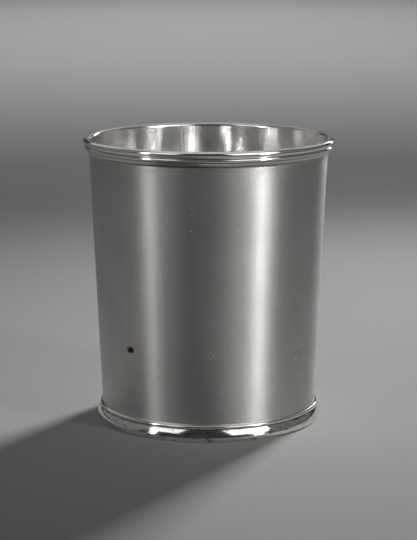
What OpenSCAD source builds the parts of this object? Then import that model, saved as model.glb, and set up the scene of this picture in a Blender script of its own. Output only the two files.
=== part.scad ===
// Tapering silver beaker: a rolled and seamed sheet wall, a flat base disc let into it,
// and two drawn mouldings soldered round the lip and the foot.
// Millimetres, +Z up. The origin is on the cup's axis at the table, and -Y is the front.

/* [Cup] */
// Overall height, from the table to the top of the lip
cup_height = 92; // [70:0.5:120]
// Outside diameter of the wall, carried down to the table
wall_table_d = 69.4; // [56:0.1:76]
// Outside diameter of the wall, carried up to the lip
wall_lip_d = 77.5; // [70:0.1:92]
// Thickness of the rolled sheet
wall_t = 0.5; // [0.3:0.05:0.9]
// Height of the wall's lower edge above the table
wall_clear = 0.3; // [0.1:0.05:1]

/* [Base] */
// Height of the base disc's underside above the table
base_rise = 3; // [2:0.1:8]
// Thickness of the base disc
base_t = 0.6; // [0.4:0.05:1.2]

/* [Rim moulding] */
// Height of the whole moulding
rim_h = 5; // [4.6:0.1:7]
// Radius of the round bead at the lip
lip_bead_r = 1.15; // [0.95:0.05:1.25]
// Radius of the reed under the bead
rim_reed_r = 0.62; // [0.45:0.01:0.75]
// Reach of the reed from the wall
rim_reed_reach = 1.45; // [1.1:0.05:1.8]
// Depth that the reed is sunk into the bead above it
rim_reed_sink = 0.05; // [0.02:0.01:0.2]
// Drop from the reed's centre to the skirt's top
rim_skirt_drop = 0.5; // [0.35:0.05:0.7]
// Reach of the skirt at its top
rim_skirt_reach = 1.1; // [0.8:0.05:1.2]
// Swell of the skirt beyond a straight slope
rim_skirt_swell = 0.15; // [0.05:0.05:0.3]
// Width of the moulding's lower edge
rim_toe_w = 0.3; // [0.2:0.05:0.5]

/* [Foot moulding] */
// Height of the whole moulding
foot_h = 5.1; // [4.4:0.1:7]
// Reach of the foot from the wall, at the table
foot_reach = 2.05; // [1.6:0.05:3]
// Radius of the swelling ovolo
ovolo_r = 6; // [5:0.5:9]
// Radius of the reed above the ovolo
foot_reed_r = 0.62; // [0.45:0.01:0.75]
// Reach of the reed from the wall
foot_reed_reach = 0.85; // [0.75:0.05:1]
// Radius of the foot's lower outside edge
foot_edge_r = 0.6; // [0.2:0.05:1]

/* [Solder] */
// Width of the solder run that closes the wall
seam_w = 0.4; // [0.2:0.05:0.8]
// Turn of the wall's seam from straight behind, in degrees
seam_turn = 14; // [-60:1:60]
// Width of the solder in the closing joint of each moulding
joint_w = 0.3; // [0.2:0.05:0.8]
// Turn of the rim's joint from the wall's seam, in degrees
rim_joint_turn = 9; // [3:1:30]
// Turn of the foot's joint from the wall's seam, in degrees
foot_joint_turn = -7; // [-30:1:-3]
// Leg of the solder fillets beside the base disc
base_fillet = 0.5; // [0.2:0.05:1]
// Height of the solder fillets beside the mouldings
edge_fillet = 0.3; // [0.15:0.05:0.6]

/* [Hidden] */
$fn = 180;

// Taper of the wall, and its outer and inner radius at a height
taper = (wall_lip_d - wall_table_d) / 2 / cup_height;
wall_w = wall_t * sqrt(1 + taper * taper);
function outer_r(z) = wall_table_d / 2 + taper * z;
function inner_r(z) = outer_r(z) - wall_w;

// The lip is one round bead: the sheet's edge is its inner part, and the moulding is the rest
bead_z = cup_height - lip_bead_r;
bead_at = [inner_r(bead_z) + lip_bead_r, bead_z];

// Rim moulding, from the bead down
rim_low_z = cup_height - rim_h;
rim_reed_z = bead_z - lip_bead_r - rim_reed_r + rim_reed_sink;
rim_reed_at = [outer_r(rim_reed_z) + rim_reed_reach - rim_reed_r, rim_reed_z];
skirt_z = rim_reed_z - rim_skirt_drop;
skirt_top = [outer_r(skirt_z) + rim_skirt_reach, skirt_z];
skirt_toe = [outer_r(rim_low_z) + rim_toe_w, rim_low_z];

// Foot moulding, from the table up
foot_r = outer_r(0) + foot_reach;
ovolo_at = [foot_r - ovolo_r, foot_edge_r];
foot_reed_z = foot_h - foot_reed_r;
foot_reed_at = [outer_r(foot_reed_z) + foot_reed_reach - foot_reed_r, foot_reed_z];
ovolo_top_z = foot_reed_z - foot_reed_r;

base_top_z = base_rise + base_t;
// How far a cutting section runs past the ends of the cup
run_past = 1;
back_angle = 90;
seam_angle = back_angle + seam_turn;

// Angle that a run of solder of width w takes up at radius r
function run_angle(w, r) = 2 * asin(w / 2 / r);

// Centre of the circle through a and b that swells by that much to the right of the way from a to b
function swell_r(a, b, swell) = (pow(norm(b - a) / 2, 2) + pow(swell, 2)) / (2 * swell);
function swell_centre(a, b, swell) =
    let (way = (b - a) / norm(b - a), out = [way[1], -way[0]])
    (a + b) / 2 - out * (swell_r(a, b, swell) - swell);

// Section of everything on the inner side of the wall's outer face, which the mouldings fit round
module inside_wall_face() {
    low = -run_past;
    high = cup_height + run_past;
    polygon([[0, low], [outer_r(low), low], [outer_r(high), high], [0, high]]);
}

module wall_section() {
    intersection() {
        polygon([
            [inner_r(wall_clear), wall_clear], [outer_r(wall_clear), wall_clear],
            [outer_r(cup_height), cup_height], [inner_r(cup_height), cup_height]
        ]);
        union() {
            translate(bead_at) circle(r = lip_bead_r);
            square([bead_at[0] + lip_bead_r, bead_z]);
        }
    }
}

module rim_section() {
    difference() {
        union() {
            translate(bead_at) circle(r = lip_bead_r);
            translate(rim_reed_at) circle(r = rim_reed_r);
            polygon([
                bead_at, [inner_r(0), bead_z], [inner_r(0), skirt_z],
                [rim_reed_at[0], skirt_z], rim_reed_at
            ]);
            rim_skirt();
        }
        inside_wall_face();
    }
}

// The slope below the reed, down to the moulding's lower edge, on an arc that swells a little
module rim_skirt() {
    intersection() {
        translate(swell_centre(skirt_toe, skirt_top, rim_skirt_swell))
            circle(r = swell_r(skirt_toe, skirt_top, rim_skirt_swell));
        translate([0, rim_low_z]) square([rim_reed_at[0] + rim_reed_r, rim_reed_z - rim_low_z]);
    }
}

module foot_section() {
    difference() {
        union() {
            translate(foot_reed_at) circle(r = foot_reed_r);
            intersection() {
                translate(ovolo_at) circle(r = ovolo_r);
                translate([0, foot_edge_r]) square([foot_r, ovolo_top_z - foot_edge_r]);
            }
            square([foot_r - foot_edge_r, foot_edge_r]);
            translate([foot_r - foot_edge_r, foot_edge_r]) circle(r = foot_edge_r);
            square([foot_reed_at[0], foot_h]);
        }
        inside_wall_face();
    }
}

// Sweeps a section right round, but for a gap of that many degrees centred at an angle
module ring_but_for(gap, at) {
    rotate([0, 0, at + gap / 2]) rotate_extrude(angle = 360 - gap) children();
}

// Sweeps a section through that many degrees centred at an angle
module ring_run(run, at) {
    rotate([0, 0, at - run / 2]) rotate_extrude(angle = run) children();
}

module body_wall() {
    color("silver") ring_but_for(run_angle(seam_w, inner_r(0)), seam_angle) wall_section();
}

module body_seam_solder() {
    color("darkgray") ring_run(run_angle(seam_w, inner_r(0)), seam_angle) wall_section();
}

module base_disc() {
    color("silver") translate([0, 0, base_rise])
        cylinder(r1 = inner_r(base_rise), r2 = inner_r(base_top_z), h = base_t);
}

// A fillet in the corner between the wall's inner face and the disc, on its upper or lower side
module base_fillet_ring(z, side) {
    leg = side * base_fillet;
    rotate_extrude()
        polygon([[inner_r(z), z], [inner_r(z) - base_fillet, z], [inner_r(z + leg), z + leg]]);
}

module base_inner_solder() {
    color("darkgray") base_fillet_ring(base_top_z, 1);
}

module base_under_solder() {
    color("darkgray") base_fillet_ring(base_rise, -1);
}

module rim_moulding() {
    color("gainsboro")
        ring_but_for(run_angle(joint_w, bead_at[0]), seam_angle + rim_joint_turn) rim_section();
}

module rim_joint_solder() {
    color("darkgray")
        ring_run(run_angle(joint_w, bead_at[0]), seam_angle + rim_joint_turn) rim_section();
}

module rim_edge_solder() {
    low = rim_low_z - edge_fillet;
    color("darkgray") rotate_extrude()
        polygon([[outer_r(low), low], skirt_toe, [outer_r(rim_low_z), rim_low_z]]);
}

module foot_moulding() {
    color("gainsboro")
        ring_but_for(run_angle(joint_w, foot_r), seam_angle + foot_joint_turn) foot_section();
}

module foot_joint_solder() {
    color("darkgray")
        ring_run(run_angle(joint_w, foot_r), seam_angle + foot_joint_turn) foot_section();
}

// The fillet stands on the flat between the wall and the crown of the foot's reed
module foot_edge_solder() {
    high = foot_h + edge_fillet;
    color("darkgray") rotate_extrude()
        polygon([[outer_r(foot_h), foot_h], [foot_reed_at[0], foot_h], [outer_r(high), high]]);
}

body_wall();
body_seam_solder();
base_disc();
base_inner_solder();
base_under_solder();
rim_moulding();
rim_joint_solder();
rim_edge_solder();
foot_moulding();
foot_joint_solder();
foot_edge_solder();
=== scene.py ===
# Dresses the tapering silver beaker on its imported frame: satin wall, planished inside, polished mouldings.
# Metres, +Z up, the cup's axis on Z and -Y to the front. Angles run from +X towards +Y.
import math

import bpy
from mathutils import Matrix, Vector, noise


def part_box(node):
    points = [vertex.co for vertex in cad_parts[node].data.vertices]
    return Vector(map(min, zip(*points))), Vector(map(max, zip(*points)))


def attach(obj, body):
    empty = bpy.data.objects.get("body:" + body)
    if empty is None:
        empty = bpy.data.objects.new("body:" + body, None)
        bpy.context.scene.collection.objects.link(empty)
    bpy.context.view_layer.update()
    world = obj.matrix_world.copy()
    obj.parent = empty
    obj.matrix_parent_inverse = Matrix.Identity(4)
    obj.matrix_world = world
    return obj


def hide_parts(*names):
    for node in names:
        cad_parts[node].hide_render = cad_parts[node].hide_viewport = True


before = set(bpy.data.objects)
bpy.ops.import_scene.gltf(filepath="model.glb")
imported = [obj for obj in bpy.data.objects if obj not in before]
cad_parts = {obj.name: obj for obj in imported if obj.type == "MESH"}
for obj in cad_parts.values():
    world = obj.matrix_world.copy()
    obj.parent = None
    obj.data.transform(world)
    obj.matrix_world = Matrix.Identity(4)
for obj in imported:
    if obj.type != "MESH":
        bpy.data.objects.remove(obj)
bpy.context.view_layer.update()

MM = 0.001
FULL_TURN = 2 * math.pi
FRONT = math.radians(-90)

# Places that the frame gives
wall_low, wall_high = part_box("body_wall")
disc_low, disc_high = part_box("base_disc")
rim_low, rim_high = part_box("rim_moulding")
foot_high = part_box("foot_moulding")[1]

# The wall is a cone of even thickness, through the lip's edge and the rim of the base disc
WALL_T = 0.5 * MM
WALL_SLOPE = (wall_high.x - WALL_T - disc_high.x) / (wall_high.z - disc_high.z)

# Solder joints at the back: where each lies and how wide it is
SEAM_ANGLE = math.radians(104)
SEAM_W = 0.4 * MM
RIM_JOINT_ANGLE = math.radians(113)
FOOT_JOINT_ANGLE = math.radians(97)
JOINT_W = 0.3 * MM

# Rim moulding: bead, reed and skirt
BEAD_R = 1.15 * MM
RIM_REED_R = 0.62 * MM
RIM_REED_REACH = 1.45 * MM
RIM_REED_SINK = 0.05 * MM
SKIRT_DROP = 0.5 * MM
SKIRT_REACH = 1.1 * MM
SKIRT_SWELL = 0.15 * MM
RIM_TOE_W = 0.3 * MM

# Foot moulding: ovolo, reed and rounded lower edge
OVOLO_R = 6 * MM
FOOT_REED_R = 0.62 * MM
FOOT_REED_REACH = 0.85 * MM
FOOT_EDGE_R = 0.6 * MM

# How far darkening spreads from each hollow of the mouldings: tarnish, and from the rim's toe also painted
# shade over the skirt
GROOVE_TARNISH = 0.32 * MM
NOTCH_TARNISH = 0.4 * MM
TOE_TARNISH_AND_SHADE = 1.6 * MM
FOOT_TARNISH = 0.45 * MM

# How far handwork leaves each surface out of true
INSIDE_WAVER = 0.05 * MM
OUTSIDE_WAVER = 0.02 * MM
RIM_WAVER = 0.02 * MM
FOOT_WAVER = 0.025 * MM

# The wall's brown spot and the foot's dents, by degrees to the right of the front and by height.
# A dent also has a width and a depth.
SPOT_TURN = -43.3
SPOT_Z = 27.4 * MM
FOOT_DENTS = (
    (-58, 3.0 * MM, 0.9 * MM, 0.07 * MM),
    (-45, 2.4 * MM, 1.0 * MM, 0.12 * MM),
    (71, 1.6 * MM, 1.3 * MM, 0.08 * MM),
)

# Steps round the cup: the mouldings need finer ones for their small dents
WALL_STEPS = 360
MOULDING_STEPS = 720
DISC_STEPS = 144

# Camera, as the photograph was taken
CAMERA_AT = (0, -0.5925, 0.1642)
CAMERA_PITCH = math.radians(11.1)
CAMERA_LENS = 123
CAMERA_SENSOR = 36


def outer_r(z):
    return wall_high.x - WALL_SLOPE * (wall_high.z - z)


def inner_r(z):
    return outer_r(z) - WALL_T


def on_wall(turn, z):
    """A point on the wall's outer face, at an angle in degrees to the right of the front."""
    angle = FRONT + math.radians(turn)
    return Vector((outer_r(z) * math.cos(angle), outer_r(z) * math.sin(angle), z))


def bead_centre():
    """Centre of the round bead at the lip, as (radius, height)."""
    z = rim_high.z - BEAD_R
    return Vector((inner_r(z) + BEAD_R, z))


def between(a, b, steps):
    """Evenly spaced points from a up to b, without b."""
    return [a + (b - a) * i / steps for i in range(steps)]


def arc(centre, radius, start, end, steps):
    """Points on a circle of (radius, height), from one angle in degrees to another, without the last."""
    turns = between(math.radians(start), math.radians(end), steps)
    return [centre + radius * Vector((math.cos(t), math.sin(t))) for t in turns]


def direction(centre, point):
    """Angle in degrees at which a point lies from a centre."""
    return math.degrees(math.atan2(point.y - centre.y, point.x - centre.x))


def crossing(centre_a, radius_a, centre_b, radius_b):
    """The point where two circles cross, on the side away from the cup's axis."""
    way = centre_b - centre_a
    along = (way.length_squared + radius_a**2 - radius_b**2) / (2 * way.length)
    across = math.sqrt(radius_a**2 - along**2)
    way.normalize()
    side = Vector((-way.y, way.x))
    if side.x < 0:
        side.negate()
    return centre_a + along * way + across * side


# Modelling

def start_piece(name, at):
    """A new object with one vertex, in edit mode."""
    bpy.ops.object.select_all(action="DESELECT")
    bpy.ops.mesh.primitive_plane_add(size=MM)
    piece = bpy.context.object
    piece.name = name
    piece.data.name = name
    bpy.ops.object.mode_set(mode="EDIT")
    bpy.ops.mesh.select_all(action="SELECT")
    bpy.ops.mesh.merge(type="CENTER")
    bpy.ops.transform.translate(value=at)
    return piece


def draw_outline(outline, angle):
    """Extrudes the one selected vertex along an outline of (radius, height) points, at an angle."""
    spots = [Vector((p.x * math.cos(angle), p.x * math.sin(angle), p.y)) for p in outline]
    for here, there in zip(spots, spots[1:]):
        bpy.ops.mesh.extrude_region_move(TRANSFORM_OT_translate={"value": there - here})
    bpy.ops.mesh.select_all(action="SELECT")


def finish_mesh(piece, smooth_angle=40):
    bpy.ops.mesh.select_all(action="SELECT")
    bpy.ops.mesh.remove_doubles(threshold=0.002 * MM)
    bpy.ops.mesh.normals_make_consistent(inside=False)
    bpy.ops.object.mode_set(mode="OBJECT")
    bpy.ops.object.shade_smooth_by_angle(angle=math.radians(smooth_angle))
    return piece


def turn_outline(piece, angle, steps):
    """Turns the drawn outline round the cup's axis, and goes back to edit mode."""
    bpy.ops.object.mode_set(mode="OBJECT")
    bpy.ops.object.modifier_add(type="SCREW")
    sweep = piece.modifiers[-1]
    sweep.angle = angle
    sweep.steps = steps
    sweep.render_steps = steps
    bpy.ops.object.modifier_apply(modifier=sweep.name)
    bpy.ops.object.mode_set(mode="EDIT")
    bpy.ops.mesh.select_all(action="SELECT")


def bent_ring(name, outline, gap_angle, gap_w, steps):
    """A closed outline swept round the cup from one side of its solder joint to the other."""
    gap = gap_w / outline[0].x
    start = gap_angle + gap / 2
    first = Vector((outline[0].x * math.cos(start), outline[0].x * math.sin(start), outline[0].y))
    piece = start_piece(name, first)
    draw_outline(outline, start)
    bpy.ops.mesh.edge_face_add()
    bpy.ops.mesh.delete(type="ONLY_FACE")
    turn_outline(piece, FULL_TURN - gap, steps)
    bpy.ops.mesh.fill_holes(sides=0)
    return finish_mesh(piece)


def push(vertex, distance):
    """Moves a vertex straight out from the cup's axis."""
    spot = vertex.co
    grow = 1 + distance / math.hypot(spot.x, spot.y)
    vertex.co = Vector((spot.x * grow, spot.y * grow, spot.z))


def waver(spot, across, up):
    """A smooth unevenness from -1 to 1, as wide and as high as hand work leaves it."""
    return noise.noise(Vector((spot.x / across, spot.y / across, spot.z / up)))


def dent(piece, turn, height, width, depth):
    """Presses a small round dent into a moulding, at an angle in degrees to the right of the front."""
    angle = FRONT + math.radians(turn)
    for vertex in piece.data.vertices:
        spot = vertex.co
        radius = math.hypot(spot.x, spot.y)
        aside = radius * math.remainder(math.atan2(spot.y, spot.x) - angle, FULL_TURN)
        away = math.hypot(aside, spot.z - height) / width
        if radius > outer_r(spot.z) and away < 1:
            push(vertex, -depth * (1 - away**2) ** 2)


def place_uv(piece):
    """Unrolls the piece: across is the way round from the seam, up is the height, both in metres."""
    around = piece.data.uv_layers.new(name="around")
    mean_r = outer_r((wall_low.z + wall_high.z) / 2)
    spots = [(math.atan2(v.co.y, v.co.x), v.co.z) for v in piece.data.vertices]
    flat = []
    for face in piece.data.polygons:
        middle = math.atan2(face.center.y, face.center.x)
        shift = FULL_TURN - SEAM_ANGLE if middle < SEAM_ANGLE else -SEAM_ANGLE
        for corner in face.vertices:
            turn, height = spots[corner]
            nearest = turn + FULL_TURN * round((middle - turn) / FULL_TURN)
            flat += [(nearest + shift) * mean_r, height]
    around.uv.foreach_set("vector", flat)


def mark_hollows(piece, hollows):
    """Writes how deep each point sits in the moulding's hollows: the tarnish that a cloth leaves there, and
    painted shade over the rim's skirt.

    Each hollow is a point of the outline and how far the darkening spreads from it.
    """
    deep = piece.data.attributes.new("hollow", "FLOAT", "POINT")
    for vertex in piece.data.vertices:
        spot = Vector((math.hypot(vertex.co.x, vertex.co.y), vertex.co.z))
        depths = [1 - (spot - hollow).length / reach for hollow, reach in hollows]
        deep.data[vertex.index].value = max(0, *depths)


def dress(piece, slot, *materials):
    """Gives a piece its finishes, and its place in the frame instead of the node that it is named for."""
    for material in materials:
        piece.data.materials.append(material)
    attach(piece, "root")
    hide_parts(piece.name.replace("_dressed", ""))


# Materials

def linear(code):
    """An sRGB hex colour as linear red, green, blue and alpha."""
    parts = [int(code[i:i + 2], 16) / 255 for i in (1, 3, 5)]
    return [c / 12.92 if c <= 0.04045 else ((c + 0.055) / 1.055) ** 2.4 for c in parts] + [1]


def blank(name):
    made = bpy.data.materials.new(name)
    made.use_nodes = True
    made.node_tree.nodes.clear()
    return made, made.node_tree


def add(tree, kind, inputs=None, **settings):
    """Adds a node and gives the socket that it is used by.

    Each input is a value, or the socket that feeds it.
    """
    made = tree.nodes.new("ShaderNode" + kind)
    wanted = settings.pop("out", 0)
    for name, value in settings.items():
        setattr(made, name, value)
    for name, value in (inputs or {}).items():
        if isinstance(value, bpy.types.NodeSocket):
            tree.links.new(value, made.inputs[name])
        else:
            made.inputs[name].default_value = value
    return made.outputs[wanted] if made.outputs else made


# Sockets of the Mix node when it mixes colours
MIX_A, MIX_B, MIX_OUT = 6, 7, 2


def satin_burnished_silver():
    """Silver sheet burnished round the cup, so that each lamp draws out into an upright streak.

    Fine lines run round it, and its grain breaks the streaks' edges. The tone clouds a little. Handling has
    left rubbed marks under the rim, stray scratches, pitted flecks coloured lighter as a painted glint,
    dark specks and one brown spot of tarnish low on the left.
    """
    made, tree = blank("satin_burnished_silver")
    around = add(tree, "UVMap", uv_map="around")
    place = add(tree, "TexCoord", out="Object")
    height = add(tree, "SeparateXYZ", {"Vector": place}, out="Z")
    # Burnishing lines and grain, drawn near a millimetre apart because real ones are too fine to show
    lines = add(tree, "TexNoise", {"Scale": 1, "Detail": 2, "Vector": add(tree, "Mapping", {
        "Vector": around, "Scale": (30 * MM, 0.9 * MM, 1)}, vector_type="TEXTURE")})
    grain = add(tree, "TexNoise", {"Vector": place, "Scale": 1 / (0.8 * MM), "Detail": 2})
    clouds = add(tree, "TexNoise", {"Vector": place, "Scale": 1 / (16 * MM), "Detail": 4})
    # Rubbed marks in the last 5 mm below the rim, where a polishing cloth turns back
    rub = add(tree, "TexNoise", {"Scale": 1, "Detail": 1, "Vector": add(tree, "Mapping", {
        "Vector": around, "Rotation": (0, 0, math.radians(2)), "Scale": (6 * MM, 0.4 * MM, 1),
    }, vector_type="TEXTURE")})
    near_rim = add(tree, "MapRange", {
        "Value": height, "From Min": rim_low.z - 5 * MM, "From Max": rim_low.z - 1 * MM,
        "To Min": 0.4, "To Max": 0.62,
    })
    rubbed_at = add(tree, "Math", {0: rub, 1: near_rim}, operation="ADD")
    rubbed = add(tree, "MapRange", {"Value": rubbed_at, "From Min": 1.1, "From Max": 1.24})
    # Stray scratches, 4 or 5 mm long, that lean either way
    rising = add(tree, "TexNoise", {"Scale": 1, "Detail": 0, "Vector": add(tree, "Mapping", {
        "Vector": around, "Rotation": (0, 0, math.radians(24)), "Scale": (5 * MM, 0.35 * MM, 1),
    }, vector_type="TEXTURE")})
    falling = add(tree, "TexNoise", {"Scale": 1, "Detail": 0, "Vector": add(tree, "Mapping", {
        "Vector": around, "Rotation": (0, 0, math.radians(-38)), "Scale": (4 * MM, 0.35 * MM, 1),
    }, vector_type="TEXTURE")})
    deepest = add(tree, "Math", {0: rising, 1: falling}, operation="MAXIMUM")
    scratches = add(tree, "MapRange", {"Value": deepest, "From Min": 0.8, "From Max": 0.87})
    marks = add(tree, "Math", {0: rubbed, 1: scratches}, operation="MAXIMUM")
    # Flecks, tiny pits up to 0.7 mm across, in drifts, at most one to each 4 mm of the wall, coloured
    # lighter as a painted glint
    fleck_way = add(tree, "TexVoronoi", {"Vector": around, "Scale": 1 / (4 * MM)},
                    voronoi_dimensions="2D", out="Distance")
    drift = add(tree, "MapRange", {"Value": clouds, "From Min": 0.46, "From Max": 0.62, "To Max": 0.09})
    fleck_size = add(tree, "MapRange", {
        "Value": fleck_way.node.outputs["Color"], "From Min": 0.45, "From Max": 0.85, "To Max": drift})
    fleck_edge = add(tree, "Math", {0: fleck_size, 1: fleck_way}, operation="SUBTRACT")
    flecks = add(tree, "MapRange", {"Value": fleck_edge, "From Min": 0, "From Max": 0.02})
    # Specks of dark tarnish a quarter of a millimetre across, one to each 7 mm or so
    speck_way = add(tree, "TexVoronoi", {"Vector": place, "Scale": 1 / (7 * MM)}, out="Distance")
    specks = add(tree, "MapRange", {"Value": speck_way, "From Min": 0.035, "From Max": 0.01})
    # The brown spot, 2 mm across with a ragged edge
    ragged = add(tree, "TexNoise", {"Vector": place, "Scale": 1 / (0.9 * MM), "Detail": 2})
    spot_place = add(tree, "Mapping", {
        "Vector": place, "Location": on_wall(SPOT_TURN, SPOT_Z), "Scale": (1.15, 1.15, 0.85),
    }, vector_type="TEXTURE")
    spot_way = add(tree, "VectorMath", {0: spot_place}, operation="LENGTH", out="Value")
    spot_edge = add(tree, "Math", {0: ragged, 1: 1.4 * MM, 2: spot_way}, operation="MULTIPLY_ADD")
    spot = add(tree, "MapRange", {"Value": spot_edge, "From Min": 2.2 * MM, "From Max": 1.7 * MM})
    # Colour
    clouding = add(tree, "MapRange", {"Value": clouds, "From Min": 0.4, "From Max": 0.7, "To Max": 0.3})
    sheet = add(tree, "Mix", {0: clouding, MIX_A: linear("#CECCC9"), MIX_B: linear("#B8B5AF")},
                data_type="RGBA", out=MIX_OUT)
    # Painted glint: the flecks are coloured lighter than the sheet, as if catching light
    painted_fleck_glints = add(tree, "Mix", {0: flecks, MIX_A: sheet, MIX_B: linear("#F5F4F2")},
                  data_type="RGBA", out=MIX_OUT)
    speckled = add(tree, "Mix", {0: specks, MIX_A: painted_fleck_glints, MIX_B: linear("#99928A")},
                   data_type="RGBA", out=MIX_OUT)
    colour = add(tree, "Mix", {0: spot, MIX_A: speckled, MIX_B: linear("#463930")},
                 data_type="RGBA", out=MIX_OUT)
    # Sheen and surface
    sheen = add(tree, "MapRange", {
        "Value": lines, "From Min": 0.3, "From Max": 0.7, "To Min": 0.38, "To Max": 0.46})
    clouded = add(tree, "Math", {0: clouding, 1: 0.05, 2: sheen}, operation="MULTIPLY_ADD")
    marked = add(tree, "Math", {0: marks, 1: 0.28, 2: clouded}, operation="MULTIPLY_ADD")
    rough = add(tree, "Math", {0: flecks, 1: 0.45, 2: marked}, operation="MULTIPLY_ADD")
    grained = add(tree, "Math", {0: grain, 1: 1.4, 2: lines}, operation="MULTIPLY_ADD")
    scored = add(tree, "Math", {0: marks, 1: -1.2, 2: grained}, operation="MULTIPLY_ADD")
    pitted = add(tree, "Math", {0: flecks, 1: -2.5, 2: scored}, operation="MULTIPLY_ADD")
    bump = add(tree, "Bump", {"Height": pitted, "Strength": 0.8, "Distance": 0.03 * MM})
    shader = add(tree, "BsdfPrincipled", {
        "Base Color": colour, "Metallic": 1, "Roughness": rough, "Normal": bump,
        "Anisotropic": 0.82, "Anisotropic Rotation": 0.25,
    })
    add(tree, "OutputMaterial", {"Surface": shader})
    return made


def planished_silver():
    """The inside, hammered smooth over a stake and polished: bright, warm and clouded by use.

    The tone warms and dulls a little towards the base, and fine rubbing lines run round.
    """
    made, tree = blank("planished_silver")
    place = add(tree, "TexCoord", out="Object")
    height = add(tree, "SeparateXYZ", {"Vector": place}, out="Z")
    clouds = add(tree, "TexNoise", {"Vector": place, "Scale": 1 / (18 * MM), "Detail": 5})
    # Rubbing lines, drawn half a millimetre apart so that they show
    lines = add(tree, "TexNoise", {"Scale": 1, "Detail": 2, "Vector": add(tree, "Mapping", {
        "Vector": place, "Scale": (12 * MM, 12 * MM, 0.5 * MM)}, vector_type="TEXTURE")})
    # Dark specks half a millimetre across, one to each 5 mm or so
    speck_way = add(tree, "TexVoronoi", {"Vector": place, "Scale": 1 / (5 * MM)}, out="Distance")
    specks = add(tree, "MapRange", {"Value": speck_way, "From Min": 0.08, "From Max": 0.04})
    low = add(tree, "MapRange", {"Value": height, "From Min": 40 * MM, "From Max": 4 * MM, "To Max": 0.35})
    clouding = add(tree, "MapRange", {"Value": clouds, "From Min": 0.42, "From Max": 0.72, "To Max": 0.6})
    worn = add(tree, "Math", {0: clouding, 1: low}, operation="ADD", use_clamp=True)
    sheet = add(tree, "Mix", {0: worn, MIX_A: linear("#F4F3F2"), MIX_B: linear("#E0DDD8")},
                data_type="RGBA", out=MIX_OUT)
    colour = add(tree, "Mix", {0: specks, MIX_A: sheet, MIX_B: linear("#9B9080")},
                 data_type="RGBA", out=MIX_OUT)
    rough = add(tree, "MapRange", {"Value": worn, "To Min": 0.1, "To Max": 0.28})
    scored = add(tree, "Math", {0: specks, 1: -1.5, 2: lines}, operation="MULTIPLY_ADD")
    bump = add(tree, "Bump", {"Height": scored, "Strength": 0.5, "Distance": 0.004 * MM})
    shader = add(tree, "BsdfPrincipled", {
        "Base Color": colour, "Metallic": 1, "Roughness": rough, "Normal": bump})
    add(tree, "OutputMaterial", {"Surface": shader})
    return made


def polished_drawn_silver():
    """Wire drawn through a shaped die, then polished: mirror-bright, with drawing lines along it.

    Dark tarnish stays in the hollows and painted shade darkens the rim's skirt, the high parts have small
    nicks, and the foot has brown stains.
    """
    made, tree = blank("polished_drawn_silver")
    around = add(tree, "UVMap", uv_map="around")
    place = add(tree, "TexCoord", out="Object")
    hollow = add(tree, "Attribute", attribute_name="hollow", out="Fac")
    # Drawing lines, drawn half a millimetre apart so that they show
    lines = add(tree, "TexNoise", {"Scale": 1, "Detail": 2, "Vector": add(tree, "Mapping", {
        "Vector": around, "Scale": (40 * MM, 0.5 * MM, 1)}, vector_type="TEXTURE")})
    clouds = add(tree, "TexNoise", {"Vector": place, "Scale": 1 / (6 * MM), "Detail": 4})
    # Nicks half a millimetre across, one to each 4 mm or so
    nick_way = add(tree, "TexVoronoi", {"Vector": place, "Scale": 1 / (4 * MM)}, out="Distance")
    nicks = add(tree, "MapRange", {"Value": nick_way, "From Min": 0.09, "From Max": 0.05})
    clouding = add(tree, "MapRange", {"Value": clouds, "From Min": 0.45, "From Max": 0.75, "To Max": 0.5})
    polish = add(tree, "Mix", {0: clouding, MIX_A: linear("#F4F3F0"), MIX_B: linear("#E0DCD4")},
                 data_type="RGBA", out=MIX_OUT)
    nicked = add(tree, "Mix", {0: nicks, MIX_A: polish, MIX_B: linear("#8A8173")},
                 data_type="RGBA", out=MIX_OUT)
    # Short brown stains along the foot, where it meets the table's damp
    height = add(tree, "SeparateXYZ", {"Vector": place}, out="Z")
    damp = add(tree, "TexNoise", {"Scale": 1, "Detail": 3, "Vector": add(tree, "Mapping", {
        "Vector": around, "Scale": (3 * MM, 0.5 * MM, 1)}, vector_type="TEXTURE")})
    low = add(tree, "MapRange", {"Value": height, "From Min": 5 * MM, "From Max": 4 * MM, "To Max": 0.9})
    stains = add(tree, "MapRange", {"Value": damp, "From Min": 0.57, "From Max": 0.67, "To Max": low})
    stained = add(tree, "Mix", {0: stains, MIX_A: nicked, MIX_B: linear("#6B5A48")},
                  data_type="RGBA", out=MIX_OUT)
    # Tarnish in the hollows, and painted shade over the rim's skirt from its toe
    colour = add(tree, "Mix", {0: hollow, MIX_A: stained, MIX_B: linear("#554D42")},
                 data_type="RGBA", out=MIX_OUT)
    sheen = add(tree, "MapRange", {
        "Value": clouds, "From Min": 0.3, "From Max": 0.7, "To Min": 0.07, "To Max": 0.14})
    rough = add(tree, "Math", {0: hollow, 1: 0.3, 2: sheen}, operation="MULTIPLY_ADD")
    scored = add(tree, "Math", {0: nicks, 1: -0.5, 2: lines}, operation="MULTIPLY_ADD")
    bump = add(tree, "Bump", {"Height": scored, "Strength": 0.5, "Distance": 0.02 * MM})
    shader = add(tree, "BsdfPrincipled", {
        "Base Color": colour, "Metallic": 1, "Roughness": rough, "Normal": bump})
    add(tree, "OutputMaterial", {"Surface": shader})
    return made


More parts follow.
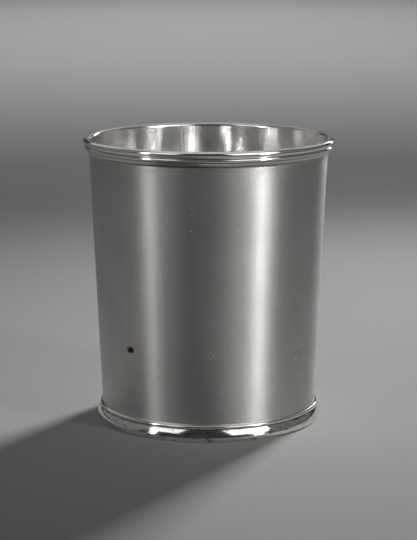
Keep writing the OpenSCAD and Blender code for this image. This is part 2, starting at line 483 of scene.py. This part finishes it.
def stoned_silver():
    """The underside, rubbed flat with a stone: grey and matt, with scratches that cross each other."""
    made, tree = blank("stoned_silver")
    place = add(tree, "TexCoord", out="Object")
    one_way = add(tree, "TexNoise", {"Scale": 1, "Detail": 2, "Vector": add(tree, "Mapping", {
        "Vector": place, "Rotation": (0, 0, math.radians(18)), "Scale": (14 * MM, 0.4 * MM, 5 * MM),
    }, vector_type="TEXTURE")})
    other_way = add(tree, "TexNoise", {"Scale": 1, "Detail": 2, "Vector": add(tree, "Mapping", {
        "Vector": place, "Rotation": (0, 0, math.radians(-61)), "Scale": (11 * MM, 0.4 * MM, 5 * MM),
    }, vector_type="TEXTURE")})
    rubbed = add(tree, "Math", {0: one_way, 1: other_way}, operation="MAXIMUM")
    clouds = add(tree, "TexNoise", {"Vector": place, "Scale": 1 / (12 * MM), "Detail": 4})
    colour = add(tree, "Mix", {0: clouds, MIX_A: linear("#DDDAD4"), MIX_B: linear("#B9B1A3")},
                 data_type="RGBA", out=MIX_OUT)
    rough = add(tree, "MapRange", {
        "Value": rubbed, "From Min": 0.4, "From Max": 0.8, "To Min": 0.42, "To Max": 0.26})
    bump = add(tree, "Bump", {"Height": rubbed, "Strength": 0.5, "Distance": 0.01 * MM})
    shader = add(tree, "BsdfPrincipled", {
        "Base Color": colour, "Metallic": 1, "Roughness": rough, "Normal": bump})
    add(tree, "OutputMaterial", {"Surface": shader})
    return made


def silver_solder(making, smoothest, dullest, burnish):
    """Solder run into a joint and worked flush: greyer and yellower than the sheet, with a fine grain."""
    made, tree = blank(making + "_silver_solder")
    place = add(tree, "TexCoord", out="Object")
    grain = add(tree, "TexNoise", {"Vector": place, "Scale": 1 / (0.4 * MM), "Detail": 4})
    clouds = add(tree, "TexNoise", {"Vector": place, "Scale": 1 / (5 * MM), "Detail": 2})
    colour = add(tree, "Mix", {0: clouds, MIX_A: linear("#DCD9D2"), MIX_B: linear("#B9B2A4")},
                 data_type="RGBA", out=MIX_OUT)
    rough = add(tree, "MapRange", {
        "Value": grain, "From Min": 0.3, "From Max": 0.7, "To Min": smoothest, "To Max": dullest})
    bump = add(tree, "Bump", {"Height": grain, "Strength": 0.5, "Distance": 0.01 * MM})
    shader = add(tree, "BsdfPrincipled", {
        "Base Color": colour, "Metallic": 1, "Roughness": rough, "Normal": bump,
        "Anisotropic": burnish, "Anisotropic Rotation": 0.25,
    })
    add(tree, "OutputMaterial", {"Surface": shader})
    return made


# Pieces

def wall_outline():
    """Up the outside, over the lip's inner half, down the inside and back along the lower edge."""
    bead = bead_centre()
    outside = [Vector((outer_r(z), z)) for z in between(wall_low.z, wall_high.z, 60)]
    lip_edge = Vector((outer_r(wall_high.z), wall_high.z))
    lip = arc(bead, BEAD_R, direction(bead, lip_edge), 180, 24)
    inside = [Vector((inner_r(z), z)) for z in between(bead.y, wall_low.z, 72)]
    toe = Vector((inner_r(wall_low.z), wall_low.z))
    return outside + lip + inside + [toe]


def make_wall(outside_finish, inside_finish):
    """The rolled sheet. Its inside keeps the stake's long hammer facets, and its outside is nearly true."""
    piece = bent_ring("body_wall_dressed", wall_outline(), SEAM_ANGLE, SEAM_W, WALL_STEPS)
    calm_from = wall_high.z - 9 * MM
    calm_over = 6 * MM
    for vertex in piece.data.vertices:
        spot = vertex.co
        if math.hypot(spot.x, spot.y) < outer_r(spot.z) - WALL_T / 2:
            fade = min(1, max(0, 1 - (spot.z - calm_from) / calm_over))
            push(vertex, INSIDE_WAVER * fade * waver(spot, 7 * MM, 50 * MM))
        else:
            push(vertex, OUTSIDE_WAVER * waver(spot, 24 * MM, 48 * MM))
    place_uv(piece)
    dress(piece, "satin_silver", outside_finish, inside_finish)
    for face in piece.data.polygons:
        if math.hypot(face.center.x, face.center.y) < outer_r(face.center.z) - WALL_T / 2:
            face.material_index = 1


def rim_outline():
    """Over the bead, round the reed, down the skirt and back up the wall. Also gives its hollows."""
    bead = bead_centre()
    reed_z = bead.y - BEAD_R - RIM_REED_R + RIM_REED_SINK
    reed = Vector((outer_r(reed_z) + RIM_REED_REACH - RIM_REED_R, reed_z))
    skirt_z = reed_z - SKIRT_DROP
    top = Vector((outer_r(skirt_z) + SKIRT_REACH, skirt_z))
    toe = Vector((outer_r(rim_low.z) + RIM_TOE_W, rim_low.z))
    chord = top - toe
    swell_r = (chord.length_squared / 4 + SKIRT_SWELL**2) / (2 * SKIRT_SWELL)
    out = Vector((chord.y, -chord.x)).normalized()
    swell = (top + toe) / 2 - out * (swell_r - SKIRT_SWELL)
    lip_edge = Vector((outer_r(wall_high.z), wall_high.z))
    groove = crossing(bead, BEAD_R, reed, RIM_REED_R)
    notch = crossing(reed, RIM_REED_R, swell, swell_r)
    line = arc(bead, BEAD_R, direction(bead, lip_edge), direction(bead, groove), 30)
    line += arc(reed, RIM_REED_R, direction(reed, groove), direction(reed, notch), 16)
    line += arc(swell, swell_r, direction(swell, notch), direction(swell, toe), 8)
    back = [Vector((outer_r(z), z)) for z in between(rim_low.z, wall_high.z, 6)]
    # The groove and notch hold tarnish; the toe's wide reach paints shade over the skirt
    hollows = ((groove, GROOVE_TARNISH), (notch, NOTCH_TARNISH), (toe, TOE_TARNISH_AND_SHADE))
    return line + [toe] + back, hollows


def make_rim(finish):
    """The rim's wire, which wavers a little where it was bent round the lip."""
    outline, hollows = rim_outline()
    piece = bent_ring("rim_moulding_dressed", outline, RIM_JOINT_ANGLE, JOINT_W, MOULDING_STEPS)
    mark_hollows(piece, hollows)
    for vertex in piece.data.vertices:
        if math.hypot(vertex.co.x, vertex.co.y) > outer_r(vertex.co.z) + RIM_TOE_W / 2:
            push(vertex, RIM_WAVER * waver(vertex.co, 9 * MM, 9 * MM))
    place_uv(piece)
    dress(piece, "polished_silver", finish)


def foot_outline():
    """Over the reed, down the ovolo, round the lower edge and under the wall. Also gives its hollows."""
    foot_h = foot_high.z
    foot_r = foot_high.x
    reed_z = foot_h - FOOT_REED_R
    reed = Vector((outer_r(reed_z) + FOOT_REED_REACH - FOOT_REED_R, reed_z))
    ovolo = Vector((foot_r - OVOLO_R, FOOT_EDGE_R))
    step_z = reed_z - FOOT_REED_R
    step = Vector((ovolo.x + math.sqrt(OVOLO_R**2 - (step_z - ovolo.y) ** 2), step_z))
    edge = Vector((foot_r - FOOT_EDGE_R, FOOT_EDGE_R))
    corner = Vector((outer_r(foot_h), foot_h))
    fold = Vector((reed.x, step_z))
    line = [corner] + arc(reed, FOOT_REED_R, 90, -90, 20) + [fold]
    line += arc(ovolo, OVOLO_R, direction(ovolo, step), 0, 20)
    line += arc(edge, FOOT_EDGE_R, 0, -90, 8)
    line += [Vector((edge.x, 0)), Vector((outer_r(0), 0))]
    return line, ((corner, FOOT_TARNISH), (fold, FOOT_TARNISH))


def make_foot(finish):
    """The foot's wire takes the knocks: it wavers more than the rim's, and has small dents on both sides."""
    outline, hollows = foot_outline()
    piece = bent_ring("foot_moulding_dressed", outline, FOOT_JOINT_ANGLE, JOINT_W, MOULDING_STEPS)
    mark_hollows(piece, hollows)
    for vertex in piece.data.vertices:
        if math.hypot(vertex.co.x, vertex.co.y) > outer_r(vertex.co.z) + FOOT_REED_R:
            push(vertex, FOOT_WAVER * waver(vertex.co, 7 * MM, 7 * MM))
    for turn, height, width, depth in FOOT_DENTS:
        dent(piece, turn, height, width, depth)
    place_uv(piece)
    dress(piece, "polished_silver", finish)


def make_base(upper_finish, under_finish):
    """The base disc, spun from its own section, a little uneven above from the hammer."""
    piece = start_piece("base_disc_dressed", (0, 0, disc_high.z))
    upper = [Vector((r, disc_high.z)) for r in between(0, disc_high.x, 40)]
    lower = [Vector((r, disc_low.z)) for r in between(-disc_low.x, 0, 40)]
    draw_outline(upper + [Vector((disc_high.x, disc_high.z))] + lower + [Vector((0, disc_low.z))], 0)
    turn_outline(piece, FULL_TURN, DISC_STEPS)
    finish_mesh(piece)
    for vertex in piece.data.vertices:
        edge_way = disc_high.x - math.hypot(vertex.co.x, vertex.co.y)
        calm = min(1, max(0, edge_way / (4 * MM)))
        if vertex.co.z > (disc_low.z + disc_high.z) / 2:
            vertex.co.z += INSIDE_WAVER * calm * waver(vertex.co, 7 * MM, 7 * MM)
    place_uv(piece)
    dress(piece, "polished_silver", upper_finish, under_finish)
    for face in piece.data.polygons:
        if face.normal.z < 0:
            face.material_index = 1


# Stage

def lamp(name, azimuth, distance, height, size, radiance, aim=(0, 0, 0), spread=180):
    """A soft rectangular lamp, at an angle to the right of the camera as seen from the cup.

    A grid in front of it may narrow its spread, which leaves it as bright straight ahead.
    """
    turn = math.radians(azimuth)
    half_spread = math.radians(spread / 2)
    light = bpy.data.lights.new(name, "AREA")
    light.shape = "RECTANGLE"
    light.size, light.size_y = size
    light.spread = 2 * half_spread
    light.energy = radiance * math.pi * size[0] * size[1] * (1 - half_spread / math.tan(half_spread))
    made = bpy.data.objects.new(name, light)
    bpy.context.scene.collection.objects.link(made)
    made.location = (distance * math.sin(turn), -distance * math.cos(turn), height)
    made.visible_camera = False
    made.rotation_mode = "QUATERNION"
    made.rotation_quaternion = (made.location - Vector(aim)).to_track_quat("Z", "Y")
    return made


def make_floor():
    """Pale grey paper without a sheen."""
    bpy.ops.object.select_all(action="DESELECT")
    bpy.ops.mesh.primitive_plane_add(size=12)
    floor = bpy.context.object
    floor.name = "floor"
    made, tree = blank("matt_paper_floor")
    shader = add(tree, "BsdfPrincipled", {
        "Base Color": linear("#BDBDBC"), "Roughness": 0.9, "Specular IOR Level": 0})
    add(tree, "OutputMaterial", {"Surface": shader})
    floor.data.materials.append(made)
    return floor


def make_camera():
    lens = bpy.data.cameras.new("camera")
    lens.lens = CAMERA_LENS
    lens.sensor_width = CAMERA_SENSOR
    camera = bpy.data.objects.new("camera", lens)
    camera.location = CAMERA_AT
    camera.rotation_euler = (math.pi / 2 - CAMERA_PITCH, 0, 0)
    bpy.context.scene.collection.objects.link(camera)
    bpy.context.scene.camera = camera


def make_light(floor):
    """A key behind on the right, a strip to each side in front, and soft boards all round."""
    at_cup = (0, 0, 0.04)
    key = lamp("key_behind", 150, 0.72, 0.5, (0.16, 0.16), 78, at_cup, 56)
    key.visible_glossy = False
    lamp("key_glint", 150, 0.72, 0.5, (0.12, 0.12), 26, at_cup, 90)
    lamp("strip_right", 51, 0.55, 0.16, (0.07, 0.26), 17.5, at_cup, 60)
    lamp("strip_left", -57, 0.55, 0.16, (0.05, 0.26), 9, at_cup, 60)
    lamp("panel_back", 180, 3.2, 0.6, (1.4, 1), 0.15, (0, 0, 0.3))
    # Soft boards that the silver mirrors, flagged off the floor
    boards = (
        lamp("soft_top", 0, 0, 1, (1.2, 1.2), 0.45),
        lamp("soft_behind", 180, 0.9, 0.85, (2.2, 0.8), 0.35, at_cup),
        lamp("strip_back", 150, 0.72, 0.19, (0.09, 0.32), 3.6, at_cup),
        lamp("soft_right", 100, 0.9, 0.5, (1.3, 1), 0.09, at_cup),
        lamp("soft_left", -108, 0.9, 0.5, (1.5, 1), 0.12, at_cup),
        lamp("panel_right", 44, 0.7, 0.43, (0.62, 0.5), 1.45, at_cup),
        lamp("panel_left", -48, 0.7, 0.48, (0.48, 0.4), 1, at_cup),
    )
    off_floor = bpy.data.collections.new("off_floor")
    off_floor.objects.link(floor)
    off_floor.collection_objects[0].light_linking.link_state = "EXCLUDE"
    for board in boards:
        board.light_linking.receiver_collection = off_floor
    # Lamps that face down and light only the floor further off
    far_floor = {"back": (180, 6), "right": (90, 3), "front": (0, 2.5), "left": (-90, 3)}
    for side, (azimuth, radiance) in far_floor.items():
        far = lamp("far_floor_" + side, azimuth, 1.9, 1.6, (1.4, 2.2), radiance, spread=70)
        far.rotation_quaternion = (1, 0, 0, 0)
        far.visible_glossy = False
    world = bpy.data.worlds.new("studio")
    bpy.context.scene.world = world
    world.use_nodes = True
    background = world.node_tree.nodes["Background"]
    background.inputs["Color"].default_value = linear("#7F7F80")
    background.inputs["Strength"].default_value = 0.15


make_camera()
make_light(make_floor())
drawn = polished_drawn_silver()
planished = planished_silver()
make_wall(satin_burnished_silver(), planished)
make_rim(drawn)
make_foot(drawn)
make_base(planished, stoned_silver())
filed_solder = silver_solder("filed", 0.26, 0.4, 0)
polished_solder = silver_solder("polished", 0.1, 0.16, 0)
joint_finishes = {
    "body_seam_solder": silver_solder("burnished", 0.38, 0.46, 0.82),
    "rim_joint_solder": polished_solder,
    "foot_joint_solder": polished_solder,
    "base_inner_solder": filed_solder,
    "base_under_solder": filed_solder,
    "rim_edge_solder": filed_solder,
    "foot_edge_solder": filed_solder,
}
for node_name, joint_finish in joint_finishes.items():
    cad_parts[node_name].data.materials.clear()
    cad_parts[node_name].data.materials.append(joint_finish)

# Light crosses the inside of the cup about ten times on its way out
bpy.context.scene.cycles.glossy_bounces = 12
bpy.context.scene.view_settings.view_transform = "Standard"
